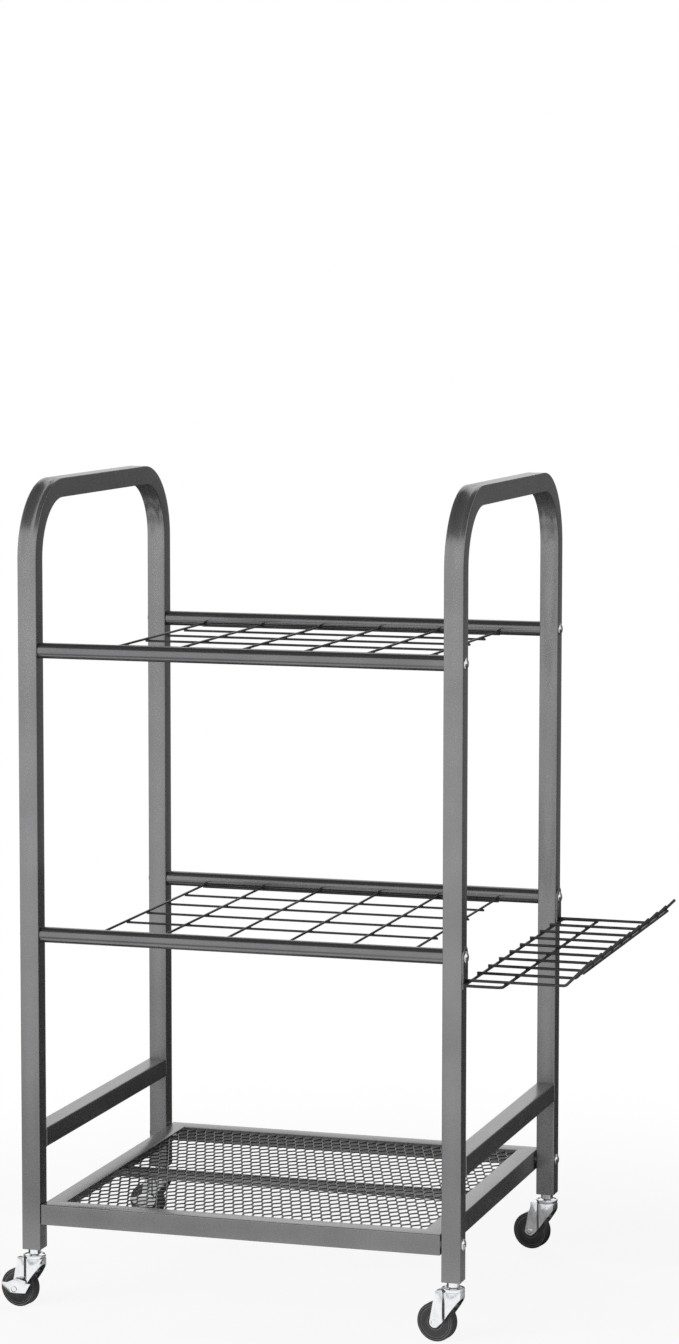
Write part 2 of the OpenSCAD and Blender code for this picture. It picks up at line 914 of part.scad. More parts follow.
left_frame_tube();
right_frame_tube();
left_side_rail();
right_side_rail();
upper_front_rod();
upper_rear_rod();
middle_front_rod();
middle_rear_rod();
rod_end_inserts();
upper_bolts();
middle_bolts();
upper_grid_long_wires();
upper_grid_cross_wires();
middle_grid_long_wires();
middle_grid_cross_wires();
shelf_front_rail();
shelf_rear_rail();
shelf_left_rail();
shelf_right_rail();
shelf_mesh();
shelf_crossbar();
shelf_bolts();
shelf_washers();
shelf_nuts();
tray_tabs();
tray_ring();
tray_wires();
tray_lip_wire();
post_end_plugs();
front_left_stem();
front_left_head();
front_left_balls();
front_left_fork();
front_left_axle();
front_left_wheel();
front_left_brake_lever();
front_right_stem();
front_right_head();
front_right_balls();
front_right_fork();
front_right_axle();
front_right_wheel();
rear_left_stem();
rear_left_head();
rear_left_balls();
rear_left_fork();
rear_left_axle();
rear_left_wheel();
rear_left_brake_lever();
rear_right_stem();
rear_right_head();
rear_right_balls();
rear_right_fork();
rear_right_axle();
rear_right_wheel();
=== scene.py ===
"""Looks of the rolling garden tool rack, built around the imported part.

Sizes are in millimetres from the rack's middle on the floor, as in the part's source. They
become metres in the part's own frame as each mesh is made. Materials and stage are in metres.
"""
from math import cos, hypot, pi, radians, sin, sqrt

import bmesh
import bpy
from mathutils import Matrix, Vector

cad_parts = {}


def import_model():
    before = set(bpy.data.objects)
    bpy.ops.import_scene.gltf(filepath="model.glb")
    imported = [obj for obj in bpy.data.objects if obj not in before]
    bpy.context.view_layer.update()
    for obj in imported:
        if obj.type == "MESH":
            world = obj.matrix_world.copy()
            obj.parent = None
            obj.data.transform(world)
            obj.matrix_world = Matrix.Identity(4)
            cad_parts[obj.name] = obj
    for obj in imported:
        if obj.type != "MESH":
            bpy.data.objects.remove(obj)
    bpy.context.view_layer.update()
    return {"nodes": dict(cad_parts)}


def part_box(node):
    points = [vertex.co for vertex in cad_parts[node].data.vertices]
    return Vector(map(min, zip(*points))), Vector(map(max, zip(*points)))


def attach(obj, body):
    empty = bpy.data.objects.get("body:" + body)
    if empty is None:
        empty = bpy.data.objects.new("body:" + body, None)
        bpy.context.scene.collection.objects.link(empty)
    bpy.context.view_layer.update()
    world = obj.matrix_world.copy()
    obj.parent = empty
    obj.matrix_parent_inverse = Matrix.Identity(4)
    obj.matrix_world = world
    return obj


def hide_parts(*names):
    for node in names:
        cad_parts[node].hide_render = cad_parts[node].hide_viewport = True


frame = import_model()

MM = 0.001
TOLERANCE = 1e-6

# Sizes of the side frames
RACK_W, RACK_D, RACK_H = 468, 408, 855
TUBE, TUBE_WALL, TUBE_CORNER = 20, 1.5, 1.2
BEND_R, CREASE_DEPTH, CREASE_W = 70, 1, 11
SIDE_RAIL_Z = 177.2

# Sizes of the rods and bolts
ROD_R = 8
UPPER_Z, MIDDLE_Z = 683, 391
THREAD_REACH = 16
BOLT_R, HEAD_R, HEAD_H, HEAD_RIM = 3, 6.25, 3, 0.8
SOCKET_APOTHEM, SOCKET_DEPTH = 2, 1.6

# Sizes of the grids
GRID_R, GRID_PITCH_X, GRID_LONG, GRID_PITCH_Y, GRID_CROSS = 1.25, 67, 6, 61.67, 7
GRID_DROP, GRID_OVERHANG = 4, 2.5

# Sizes of the shelf
SHELF_TOP, ANGLE_W, ANGLE_H, ANGLE_T, SHELF_GAP = 111.2, 20, 21, 1.5, 1.25
MESH_T, MESH_LAP = 3, 12
CROSSBAR = 10

# Sizes of the side tray
TRAY_R, TRAY_N, TRAY_PITCH, TRAY_DROP, TRAY_FLAT = 1.5, 10, 43, 23, 100.5
LIP, LIP_ANGLE, TRAY_BEND = 35, radians(45), 6
RING_W, RING_L, RING_CORNER, LIP_WIRE_SHARE = 39, 414, 5, 0.57
TAB_T = 1.5

# Sizes of the casters, and the clearances
CASTER_H, CASTER_YAW, TRAIL = 63, radians(10), 17.5
WHEEL_R, WHEEL_W, WHEEL_SHOULDER = 20, 12, 1.5
AXLE_R, SLIP = 2.4, 0.05
HEAD_D, FORK_T, FORK_INNER, LEVER_T, MOVING_GAP = 23.4, 1.2, 12.8, 1, 0.3
STEM_R, COLLAR_R, COLLAR_H, STEM_L = 4, 6.5, 6, 18
WELD_GAP = 0.05

# Places that follow from the sizes
POST_X, POST_Y = (RACK_W - TUBE) / 2, (RACK_D - TUBE) / 2
INNER_X, OUTER_X = POST_X - TUBE / 2, POST_X + TUBE / 2
BEND_Z = RACK_H - TUBE / 2 - BEND_R
SHELF_X = INNER_X - SHELF_GAP
SHELF_Y = RACK_D / 2
SHELF_BOLT_Z = SHELF_TOP - ANGLE_H / 2
MESH_TOP = SHELF_TOP - ANGLE_T
TRAY_Z = MIDDLE_Z - TRAY_DROP
TRAY_START, TRAY_BEND_X = OUTER_X + TAB_T + WELD_GAP, OUTER_X + TRAY_FLAT

# The rack's middle in the part's frame, in metres
front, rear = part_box("upper_front_rod"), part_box("upper_rear_rod")
MIDDLE = Vector(((front[0].x + front[1].x) / 2, (front[0].y + rear[1].y) / 2, 0))

SHARP_ANGLE, FLAT_ANGLE, EDGE_ANGLE = radians(35), radians(1), radians(40)
ENDS = ("front", "rear")
HANDS = ("left", "right")


# Mesh helpers

class Shape:
    """Points and faces that grow into one mesh."""

    def __init__(self):
        self.points, self.faces = [], []

    def rings(self, rings, closed=False):
        """A skin over equal rings of points, capped at both ends or closed on itself."""
        start, count, n = len(self.points), len(rings), len(rings[0])
        for ring in rings:
            self.points.extend(Vector(p) for p in ring)
        for i in range(count if closed else count - 1):
            a, b = start + i * n, start + (i + 1) % count * n
            for j in range(n):
                k = (j + 1) % n
                self.faces.append((a + j, a + k, b + k, b + j))
        if not closed:
            self.faces.append(tuple(range(start + n - 1, start - 1, -1)))
            self.faces.append(tuple(range(start + (count - 1) * n, start + count * n)))

    def lathe(self, profile, place=Matrix(), sides=48, closed=False, reach=None):
        """A turned form: profile is (radius, height), about the local Z axis."""
        rings = []
        for r, h in profile:
            ring = []
            for k in range(sides):
                a = 2 * pi * k / sides
                size = reach(r, a) if reach else r
                ring.append(place @ Vector((size * cos(a), size * sin(a), h)))
            rings.append(ring)
        self.rings(rings, closed)

    def wire(self, path, radius, sides=16, closed=False, blunt=0.4):
        """A round wire along a path; its ends are rounded by blunt times the radius."""
        path = [Vector(p) for p in path]
        count = len(path)
        tangents = []
        for i, p in enumerate(path):
            back = path[i - 1] if closed or i else p
            ahead = path[(i + 1) % count] if closed or i < count - 1 else p
            tangents.append((ahead - back).normalized())
        normal = tangents[0].orthogonal().normalized()
        stations = []
        for i, (p, t) in enumerate(zip(path, tangents)):
            normal = (normal - t * normal.dot(t)).normalized()
            r = radius(i) if callable(radius) else radius
            stations.append((p, t, normal.copy(), r))
        if not closed and blunt:
            stations = self._blunted(stations, blunt)
        rings = []
        for p, t, n, r in stations:
            side = t.cross(n)
            rings.append([p + r * (n * cos(2 * pi * k / sides) + side * sin(2 * pi * k / sides))
                          for k in range(sides)])
        self.rings(rings, closed)

    @staticmethod
    def _blunted(stations, blunt):
        """The stations with both ends replaced by a small round."""
        (p0, t0, n0, r0), (p1, t1, n1, r1) = stations[0], stations[-1]
        first, last = [], []
        for a in (0, pi / 4, pi / 2):
            shrink, back = blunt * (1 - sin(a)), blunt * (1 - cos(a))
            first.append((p0 + t0 * r0 * back, t0, n0, r0 * (1 - shrink)))
            last.append((p1 - t1 * r1 * back, t1, n1, r1 * (1 - shrink)))
        return first + stations[1:-1] + last[::-1]

    def blob(self, centre, size, sides=10, levels=5, flat_share=0.06):
        """A weld nugget: an ellipsoid of the given half sizes, cut off flat at its poles."""
        rings = []
        for i in range(levels + 1):
            a = -pi / 2 + pi * (flat_share + (1 - 2 * flat_share) * i / levels)
            rings.append([Vector(centre) + Vector((size[0] * cos(a) * cos(2 * pi * k / sides),
                                                   size[1] * cos(a) * sin(2 * pi * k / sides),
                                                   size[2] * sin(a))) for k in range(sides)])
        self.rings(rings)


def smooth_step(t):
    t = min(1, max(0, t))
    return t * t * (3 - 2 * t)


def rounded_section(width, height, r, steps=5, cuts=()):
    """Points round a rectangle with round corners; cuts are extra places on two of its faces."""
    points = []
    for index, (sx, sy) in enumerate(((1, 1), (-1, 1), (-1, -1), (1, -1))):
        for k in range(steps + 1):
            a = pi / 2 * (index + k / steps)
            points.append((sx * (width / 2 - r) + r * cos(a), sy * (height / 2 - r) + r * sin(a)))
        if index in (0, 2):
            points.extend((sy * c, sy * height / 2) for c in cuts)
    return points


def quarter_turn(steps):
    """Angles from 0 to a right angle."""
    return [pi / 2 * k / steps for k in range(steps + 1)]


def turned(direction, at=(0, 0, 0)):
    """A placing whose local Z axis points along direction."""
    return Matrix.Translation(at) @ Vector(direction).to_track_quat("Z", "Y").to_matrix().to_4x4()


def arc(centre, a, b, r, start, end, steps=8):
    """Points on an arc about centre, in the plane of the unit vectors a and b."""
    centre, a, b = Vector(centre), Vector(a), Vector(b)
    return [centre + r * (a * cos(t) + b * sin(t))
            for t in (start + (end - start) * k / steps for k in range(steps + 1))]


def added(mesh, material, nodes, body, spot=Matrix()):
    """Shades a mesh, links it as a piece of the object, and says what it rides on and replaces."""
    mesh.polygons.foreach_set("use_smooth", [True] * len(mesh.polygons))
    mesh.set_sharp_from_angle(angle=SHARP_ANGLE)
    mesh.materials.append(material["look"])
    piece = bpy.data.objects.new(mesh.name, mesh)
    bpy.context.scene.collection.objects.link(piece)
    piece.matrix_world = spot
    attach(piece, body)
    if nodes:
        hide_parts(*nodes)


def made(name, shape, material, nodes=(), body="rack", local=None):
    """Turns a shape into a piece of the object. local is a placing kept on the object itself,
    so that its texture coordinates start at the piece's own middle."""
    mesh = bpy.data.meshes.new(name)
    shift = MIDDLE if local is None else Vector()
    mesh.from_pydata([p * MM + shift for p in shape.points], [], shape.faces)
    b = bmesh.new()
    b.from_mesh(mesh)
    bmesh.ops.recalc_face_normals(b, faces=b.faces)
    b.to_mesh(mesh)
    b.free()
    spot = Matrix()
    if local is not None:
        spot = local.copy()
        spot.translation = spot.translation * MM + MIDDLE
    added(mesh, material, nodes, body, spot)


def refined(name, node, material, body="rack", width=0.3, segments=2):
    """A copy of a CAD node with its edges rounded off."""
    mesh = frame["nodes"][node].data.copy()
    mesh.name = name
    mesh.materials.clear()
    b = bmesh.new()
    b.from_mesh(mesh)
    bmesh.ops.remove_doubles(b, verts=b.verts, dist=TOLERANCE)
    bmesh.ops.dissolve_limit(b, angle_limit=FLAT_ANGLE, verts=b.verts, edges=b.edges)
    edges = [e for e in b.edges if len(e.link_faces) == 2 and e.calc_face_angle(0) > EDGE_ANGLE]
    bmesh.ops.bevel(b, geom=edges, offset=width * MM, segments=segments, profile=0.5,
                    affect="EDGES", clamp_overlap=True)
    bmesh.ops.recalc_face_normals(b, faces=b.faces)
    b.to_mesh(mesh)
    b.free()
    added(mesh, material, [node], body)


# Material helpers: a noise's scale is in waves per metre, a bump's rise in metres

def new_look(name):
    look = bpy.data.materials.new(name)
    look.use_nodes = True
    nodes, links = look.node_tree.nodes, look.node_tree.links
    nodes.clear()
    out = nodes.new("ShaderNodeOutputMaterial")
    shader = nodes.new("ShaderNodeBsdfPrincipled")
    links.new(shader.outputs["BSDF"], out.inputs["Surface"])
    coords = nodes.new("ShaderNodeTexCoord")
    return look, nodes, links, shader, coords.outputs["Object"]


def noise(nodes, links, coords, scale, detail, roughness=0.5, stretch=None):
    if stretch:
        mapping = nodes.new("ShaderNodeMapping")
        mapping.inputs["Scale"].default_value = stretch
        links.new(coords, mapping.inputs["Vector"])
        coords = mapping.outputs["Vector"]
    texture = nodes.new("ShaderNodeTexNoise")
    texture.inputs["Scale"].default_value = scale
    texture.inputs["Detail"].default_value = detail
    texture.inputs["Roughness"].default_value = roughness
    links.new(coords, texture.inputs["Vector"])
    return texture.outputs["Fac"]


def maths(nodes, links, operation, *values):
    """A maths node whose inputs are sockets or plain numbers."""
    node = nodes.new("ShaderNodeMath")
    node.operation = operation
    for socket, value in zip(node.inputs, values):
        if isinstance(value, (int, float)):
            socket.default_value = value
        else:
            links.new(value, socket)
    return node.outputs[0]


def mapped(nodes, links, value, start, end, low, high, smooth=False):
    """A value that runs from low to high as the given one goes from start to end."""
    node = nodes.new("ShaderNodeMapRange")
    for key, amount in (("From Min", start), ("From Max", end), ("To Min", low), ("To Max", high)):
        node.inputs[key].default_value = amount
    if smooth:
        node.interpolation_type = "SMOOTHSTEP"
    links.new(value, node.inputs["Value"])
    return node.outputs["Result"]


def ramp(nodes, links, value, low, high, start=0.3, end=0.7):
    """A number or colour that runs from low to high as the noise goes from start to end."""
    if isinstance(low, (int, float)):
        return mapped(nodes, links, value, start, end, low, high)
    node = nodes.new("ShaderNodeValToRGB")
    node.color_ramp.elements[0].position, node.color_ramp.elements[1].position = start, end
    node.color_ramp.elements[0].color, node.color_ramp.elements[1].color = (*low, 1), (*high, 1)
    links.new(value, node.inputs["Fac"])
    return node.outputs["Color"]


def bumped(nodes, links, shader, heights):
    """Bumps in a row; heights are (height, strength, rise)."""
    normal = None
    for height, strength, rise in heights:
        node = nodes.new("ShaderNodeBump")
        node.inputs["Strength"].default_value = strength
        node.inputs["Distance"].default_value = rise
        links.new(height, node.inputs["Height"])
        if normal:
            links.new(normal, node.inputs["Normal"])
        normal = node.outputs["Normal"]
    links.new(normal, shader.inputs["Normal"])


def radial(nodes, links, coords):
    """Distance from the local Y axis, for turned pieces that lie along it."""
    split = nodes.new("ShaderNodeSeparateXYZ")
    links.new(coords, split.inputs[0])
    join = nodes.new("ShaderNodeCombineXYZ")
    links.new(split.outputs["X"], join.inputs["X"])
    links.new(split.outputs["Z"], join.inputs["Z"])
    length = nodes.new("ShaderNodeVectorMath")
    length.operation = "LENGTH"
    links.new(join.outputs[0], length.inputs[0])
    return length.outputs["Value"]


# Materials

def coat_look(name, low, high, metallic, gloss):
    """Powder coat: slight mottling, fine orange peel and a broad soft gloss."""
    smoother, rougher = 0.04, 0.05
    peel, peel_rise, grain_rise = 0.03, 0.0002, 0.00005
    look, nodes, links, shader, coords = new_look(name)
    mottle = noise(nodes, links, coords, scale=18, detail=2)
    fine = noise(nodes, links, coords, scale=700, detail=2, roughness=0.6)
    grain = noise(nodes, links, coords, scale=2600, detail=1)
    links.new(ramp(nodes, links, mottle, low, high), shader.inputs["Base Color"])
    links.new(ramp(nodes, links, fine, gloss - smoother, gloss + rougher), shader.inputs["Roughness"])
    shader.inputs["Metallic"].default_value = metallic
    bumped(nodes, links, shader, [(fine, peel, peel_rise), (grain, peel / 2, grain_rise)])
    return look


def zinc_look(name, low, high, gloss):
    """Bright plated steel with faint forming streaks and tiny pits."""
    smoother, rougher = 0.03, 0.08
    streak_strength, streak_rise = 0.05, 0.0001
    pit_strength, pit_rise = 0.04, 0.00005
    look, nodes, links, shader, coords = new_look(name)
    cloud = noise(nodes, links, coords, scale=160, detail=3)
    streak = noise(nodes, links, coords, scale=900, detail=2, stretch=(1, 1, 0.15))
    pits = noise(nodes, links, coords, scale=2400, detail=1)
    links.new(ramp(nodes, links, cloud, low, high), shader.inputs["Base Color"])
    links.new(ramp(nodes, links, streak, gloss - smoother, gloss + rougher), shader.inputs["Roughness"])
    shader.inputs["Metallic"].default_value = 1
    bumped(nodes, links, shader, [(streak, streak_strength, streak_rise), (pits, pit_strength, pit_rise)])
    return look


def painted_rim_highlights(nodes, links, distance):
    """Painted highlights: light lines round a wheel's side where the edges of its rings catch the light,
    at shares of its radius; between them the value is 0.
    """
    highlight_shares, half_highlight, start_share = (0.4, 0.785, 0.89), 0.012, 0.3
    highlight_ramp = nodes.new("ShaderNodeValToRGB")
    links.new(maths(nodes, links, "MULTIPLY", distance, 1 / (WHEEL_R * MM)), highlight_ramp.inputs["Fac"])
    keys = highlight_ramp.color_ramp.elements
    keys[0].position, keys[0].color = start_share, (0, 0, 0, 1)
    keys[1].position, keys[1].color = 1, (0, 0, 0, 1)
    for middle in highlight_shares:
        for at, level in ((middle - half_highlight, 0), (middle, 1), (middle + half_highlight, 0)):
            key = keys.new(at)
            key.color = (level, level, level, 1)
    return highlight_ramp.outputs["Color"]


def wheel_look(name, low, high, rim_highlight, smoothest, roughest):
    """Dark moulded tyre with fine turned rings on its sides, painted highlights along their edges, and a
    dusty bloom.
    """
    turned_pitch, turned_strength, grain_strength, rise = 0.0006, 0.08, 0.12, 0.0001
    look, nodes, links, shader, coords = new_look(name)
    dust = noise(nodes, links, coords, scale=240, detail=4, roughness=0.6)
    grain = noise(nodes, links, coords, scale=2200, detail=2)
    distance = radial(nodes, links, coords)
    turning = maths(nodes, links, "SINE", maths(nodes, links, "MULTIPLY", distance, 2 * pi / turned_pitch))
    # The tyre's dusty colour, with the painted highlight colour along the rings' edges
    mix = nodes.new("ShaderNodeMix")
    mix.data_type = "RGBA"
    links.new(painted_rim_highlights(nodes, links, distance), mix.inputs["Factor"])
    links.new(ramp(nodes, links, dust, low, high), mix.inputs["A"])
    mix.inputs["B"].default_value = (*rim_highlight, 1)
    links.new(mix.outputs["Result"], shader.inputs["Base Color"])
    links.new(ramp(nodes, links, dust, smoothest, roughest), shader.inputs["Roughness"])
    bumped(nodes, links, shader, [(turning, turned_strength, rise), (grain, grain_strength, rise)])
    return look


def plastic_look(name, low, high, smoothest, roughest):
    """Moulded plastic with a fine spark-eroded grain."""
    grain_strength, rise = 0.2, 0.0001
    look, nodes, links, shader, coords = new_look(name)
    cloud = noise(nodes, links, coords, scale=200, detail=3)
    grain = noise(nodes, links, coords, scale=1800, detail=2)
    links.new(ramp(nodes, links, cloud, low, high), shader.inputs["Base Color"])
    links.new(ramp(nodes, links, grain, smoothest, roughest), shader.inputs["Roughness"])
    bumped(nodes, links, shader, [(grain, grain_strength, rise)])
    return look


COAT = {"slot": "frame_coat", "look": coat_look(
    "charcoal_coat", (0.235, 0.235, 0.24), (0.27, 0.27, 0.275), metallic=0.8, gloss=0.27)}
# The rods wear the frame's coat; its colour here is painted darker as painted shade, and its gloss is
# higher
SHADED_ROD_COAT = {"slot": "frame_coat", "look": coat_look(
    "rod_coat_painted_shade", (0.19, 0.19, 0.195), (0.22, 0.22, 0.225), metallic=0.9, gloss=0.2)}
WIRE_COAT = {"slot": "wire_coat", "look": coat_look(
    "wire_coat", (0.03, 0.03, 0.032), (0.045, 0.045, 0.047), metallic=0.4, gloss=0.32)}
# The shelf mesh wears the wires' coat; its colour here is painted lighter as painted light on the strands,
# and its gloss is higher
LIT_MESH_COAT = {"slot": "wire_coat", "look": coat_look(
    "mesh_coat_painted_light", (0.06, 0.06, 0.062), (0.085, 0.085, 0.088), metallic=0.5, gloss=0.2)}
ZINC = {"slot": "bright_zinc", "look": zinc_look(
    "bright_zinc", (0.82, 0.83, 0.85), (0.92, 0.93, 0.94), gloss=0.12)}
# The wheel's light colour is that of the painted highlights on its sides
WHEEL = {"slot": "wheel_rubber", "look": wheel_look(
    "wheel_tyre", (0.022, 0.022, 0.023), (0.036, 0.036, 0.037), rim_highlight=(0.26, 0.26, 0.262),
    smoothest=0.38, roughest=0.52)}
PLASTIC = {"slot": "black_plastic", "look": plastic_look(
    "plug_plastic", (0.012, 0.012, 0.013), (0.024, 0.024, 0.025), smoothest=0.42, roughest=0.56)}


# Side frames

HALF_CREASE_CUTS = (7.6, 6.4, 5.7, 5.2, 4.5, 3.6, 2.5, 1.3)
CREASE_CUTS = (*HALF_CREASE_CUTS, 0, *(-c for c in reversed(HALF_CREASE_CUTS)))
CREASE_FADE = radians(4)
BEND_STEPS = 30
BORE_CORNER, FOOT_EDGE, FOOT_SPACE = 0.4, 0.25, 3
RAIL_CUTS = (6, 2, -2, -6)
RAIL_SHARES = (-1, -0.5, 0, 0.5, 1)
RAIL_WELD, RAIL_WELD_IN = 0.7, 0.3
WELD_OUT_SHARE, WELD_CORNER, WELD_CUTS, WELD_STEP = 0.5, 0.3, 24, 0.9
WELD_RIPPLE = 0.12


def tube_ring(section, at, out, across, crease=0, inset=0):
    """One ring of a square tube: across and out are its section's unit directions."""
    ring = []
    scale = 1 - 2 * inset / TUBE
    for a, b in section:
        if crease and abs(abs(b) - TUBE / 2) < TOLERANCE and abs(a) < CREASE_W / 2:
            depth = CREASE_DEPTH * (1 - (2 * a / CREASE_W) ** 2) * crease
            b -= depth if b > 0 else -depth
        ring.append(Vector(at) + Vector(across) * a * scale + Vector(out) * b * scale)
    return ring


def side_frame(x):
    """An inverted U of square tube, creased round its bends and open at its feet."""
    shape = Shape()
    across = Vector((1, 0, 0))
    section = rounded_section(TUBE, TUBE, TUBE_CORNER, cuts=CREASE_CUTS)
    bore = TUBE - 2 * TUBE_WALL
    inner = rounded_section(bore, bore, BORE_CORNER, cuts=[c * bore / TUBE for c in CREASE_CUTS])

    def foot(y, out):
        levels = [(inner, CASTER_H + STEM_L + FOOT_SPACE, 0), (inner, CASTER_H + FOOT_EDGE, 0),
                  (section, CASTER_H, FOOT_EDGE), (section, CASTER_H + FOOT_EDGE, 0)]
        return [tube_ring(s, (x, y, z), out, across, inset=inset) for s, z, inset in levels]

    rings = foot(-POST_Y, (0, -1, 0))
    for side in (-1, 1):
        centre = Vector((x, side * (POST_Y - BEND_R), BEND_Z))
        for k in range(BEND_STEPS + 1):
            angle = pi / 2 * (k / BEND_STEPS if side < 0 else 1 - k / BEND_STEPS)
            out = Vector((0, side * cos(angle), sin(angle)))
            crease = smooth_step(angle / CREASE_FADE) * smooth_step((pi / 2 - angle) / CREASE_FADE)
            rings.append(tube_ring(section, centre + BEND_R * out, out, across, crease))
    rings += foot(POST_Y, (0, 1, 0))[::-1]
    shape.rings(rings)
    return shape


def side_rail(x, half):
    """The low rail between the two posts of a side frame."""
    shape = Shape()
    section = rounded_section(TUBE, TUBE, TUBE_CORNER, cuts=RAIL_CUTS)
    shape.rings([tube_ring(section, (x, share * half, SIDE_RAIL_Z), (0, 0, 1), (1, 0, 0))
                 for share in RAIL_SHARES])
    return shape


def rippled(bead, wave):
    """The radius of a weld bead at each step of its path."""
    return lambda i: bead * (1 + WELD_RIPPLE * sin(i * wave))


def weld_seam(shape, centre, across, up, size, bead):
    """A fillet weld round a square tube's end: a thin rippled bead on its outline."""
    outer = size + bead * WELD_OUT_SHARE
    cuts = [size / 2 - k * size / WELD_CUTS for k in range(2, WELD_CUTS - 1)]
    outline = rounded_section(outer, outer, TUBE_CORNER + WELD_CORNER, steps=4, cuts=cuts)
    across, up = Vector(across), Vector(up)
    path = []
    for (a, b), (c, d) in zip(outline, outline[1:] + outline[:1]):
        steps = max(1, round(hypot(c - a, d - b) / WELD_STEP))
        for k in range(steps):
            t = k / steps
            path.append(Vector(centre) + across * (a + (c - a) * t) + up * (b + (d - b) * t))
    shape.wire(path, rippled(bead, wave=1.9), sides=8, closed=True)


for hand, x in zip(HANDS, (-POST_X, POST_X)):
    half = POST_Y - TUBE / 2
    made(hand + "_frame_tube_skin", side_frame(x), COAT, [hand + "_frame_tube"])
    made(hand + "_side_rail_skin", side_rail(x, half), COAT, [hand + "_side_rail"])
    welds = Shape()
    for end in (-1, 1):
        weld_seam(welds, (x, end * (half - RAIL_WELD_IN), SIDE_RAIL_Z), (1, 0, 0), (0, 0, 1),
                  TUBE - 2 * RAIL_WELD_IN, RAIL_WELD)
    made(hand + "_side_rail_welds", welds, COAT)


# Rods and bolts

ROD_CHAMFER, ROD_SIDES = 0.3, 64
HEAD_FOOT, HEAD_FOOT_H, HEAD_RIM_SOFT = 0.3, 0.15, 0.2
HEAD_DOME_SHARES = (0.985, 0.95, 0.88, 0.78, 0.66, 0.54)
SOCKET_FLAT_SHARE, SOCKET_HEX_SHARE, SOCKET_RIM_SHARE, SOCKET_POINT_SHARE = 1.3, 1.2, 1.06, 0.1
SOCKET_CHAMFER, SOCKET_POINT = 0.3, 0.3
AXIS_R, SHANK_LAP, SHANK_POINT, SHANK_TAPER, SHANK_SIDES = 0.2, 0.1, 1, 0.6, 24


def bolt(shape, at, direction, shank):
    """A domed socket-head bolt; direction points out of the head."""
    place = turned(direction, at)
    dome = HEAD_H - HEAD_RIM
    dome_r = (HEAD_R ** 2 + dome ** 2) / (2 * dome)

    def on_dome(share, of):
        r = of * share
        return r, HEAD_H - dome_r + sqrt(dome_r ** 2 - r ** 2)

    def hexagon(r, a):
        if r > SOCKET_APOTHEM * SOCKET_HEX_SHARE:
            return r
        return r / cos((a + pi / 6) % (pi / 3) - pi / 6)

    socket_floor = HEAD_H - SOCKET_DEPTH
    profile = [(AXIS_R, 0), (HEAD_R - HEAD_FOOT, 0), (HEAD_R, HEAD_FOOT_H),
               (HEAD_R, HEAD_RIM - HEAD_RIM_SOFT)]
    profile += [on_dome(share, HEAD_R) for share in HEAD_DOME_SHARES]
    profile += [on_dome(share, SOCKET_APOTHEM) for share in (SOCKET_FLAT_SHARE, SOCKET_RIM_SHARE)]
    profile += [(SOCKET_APOTHEM, HEAD_H - SOCKET_CHAMFER), (SOCKET_APOTHEM, socket_floor),
                (SOCKET_APOTHEM * SOCKET_POINT_SHARE, socket_floor - SOCKET_POINT)]
    shape.lathe(profile, place, reach=hexagon)
    shape.lathe([(BOLT_R, SHANK_LAP), (BOLT_R, SHANK_POINT - shank), (BOLT_R - SHANK_TAPER, -shank)],
                place, SHANK_SIDES)


def rod(y, z):
    """A round cross rod with chamfered ends, which meets the posts' inner faces."""
    shape = Shape()
    end = [(ROD_R - ROD_CHAMFER, -INNER_X), (ROD_R, -INNER_X + ROD_CHAMFER)]
    profile = end + [(ROD_R, 0)] + [(r, -h) for r, h in end[::-1]]
    shape.lathe(profile, turned((1, 0, 0), (0, y, z)), ROD_SIDES)
    return shape


for level, z in (("upper", UPPER_Z), ("middle", MIDDLE_Z)):
    for end, y in zip(ENDS, (-POST_Y, POST_Y)):
        made(f"{level}_{end}_rod_skin", rod(y, z), SHADED_ROD_COAT, [f"{level}_{end}_rod"])
    bolts = Shape()
    for side in (-1, 1):
        for y in (-POST_Y, POST_Y):
            lift = TAB_T if side > 0 and level == "middle" else 0
            bolt(bolts, (side * (OUTER_X + lift), y, z), (side, 0, 0), TUBE + lift + THREAD_REACH)
    made(level + "_bolts_skin", bolts, ZINC, [level + "_bolts"])


# Wire grids

GRID_END_WELD, GRID_END_WELD_IN, GRID_END_WELD_UP = (2, 1.6, 1.9), 0.4, 0.2
GRID_CROSS_WELD = (1.5, 1.5, 0.9)


def places(count, pitch):
    """The places of a row of equal steps about the middle."""
    return [(k - (count - 1) / 2) * pitch for k in range(count)]


def grid(z):
    """The wires that run front to rear, welded to the rods, and those that run side to side."""
    long_z = z - GRID_DROP
    cross_z = long_z - 2 * GRID_R - WELD_GAP
    seat = sqrt(ROD_R ** 2 - (GRID_DROP - GRID_R) ** 2)
    half_long = POST_Y - seat - WELD_GAP
    half_cross = (GRID_LONG - 1) * GRID_PITCH_X / 2 + GRID_OVERHANG
    lengthways, crossways = Shape(), Shape()
    for x in places(GRID_LONG, GRID_PITCH_X):
        lengthways.wire([(x, -half_long, long_z), (x, 0, long_z), (x, half_long, long_z)], GRID_R)
        for end in (-1, 1):
            spot = (x, end * (half_long - GRID_END_WELD_IN), long_z + GRID_END_WELD_UP)
            lengthways.blob(spot, GRID_END_WELD)
    for y in places(GRID_CROSS, GRID_PITCH_Y):
        crossways.wire([(-half_cross, y, cross_z), (0, y, cross_z), (half_cross, y, cross_z)], GRID_R)
        for x in places(GRID_LONG, GRID_PITCH_X):
            crossways.blob((x, y, (long_z + cross_z) / 2), GRID_CROSS_WELD)
    return lengthways, crossways


for level, z in (("upper", UPPER_Z), ("middle", MIDDLE_Z)):
    lengthways, crossways = grid(z)
    made(level + "_grid_long_skin", lengthways, WIRE_COAT, [level + "_grid_long_wires"])
    made(level + "_grid_cross_skin", crossways, WIRE_COAT, [level + "_grid_cross_wires"])


# Shelf

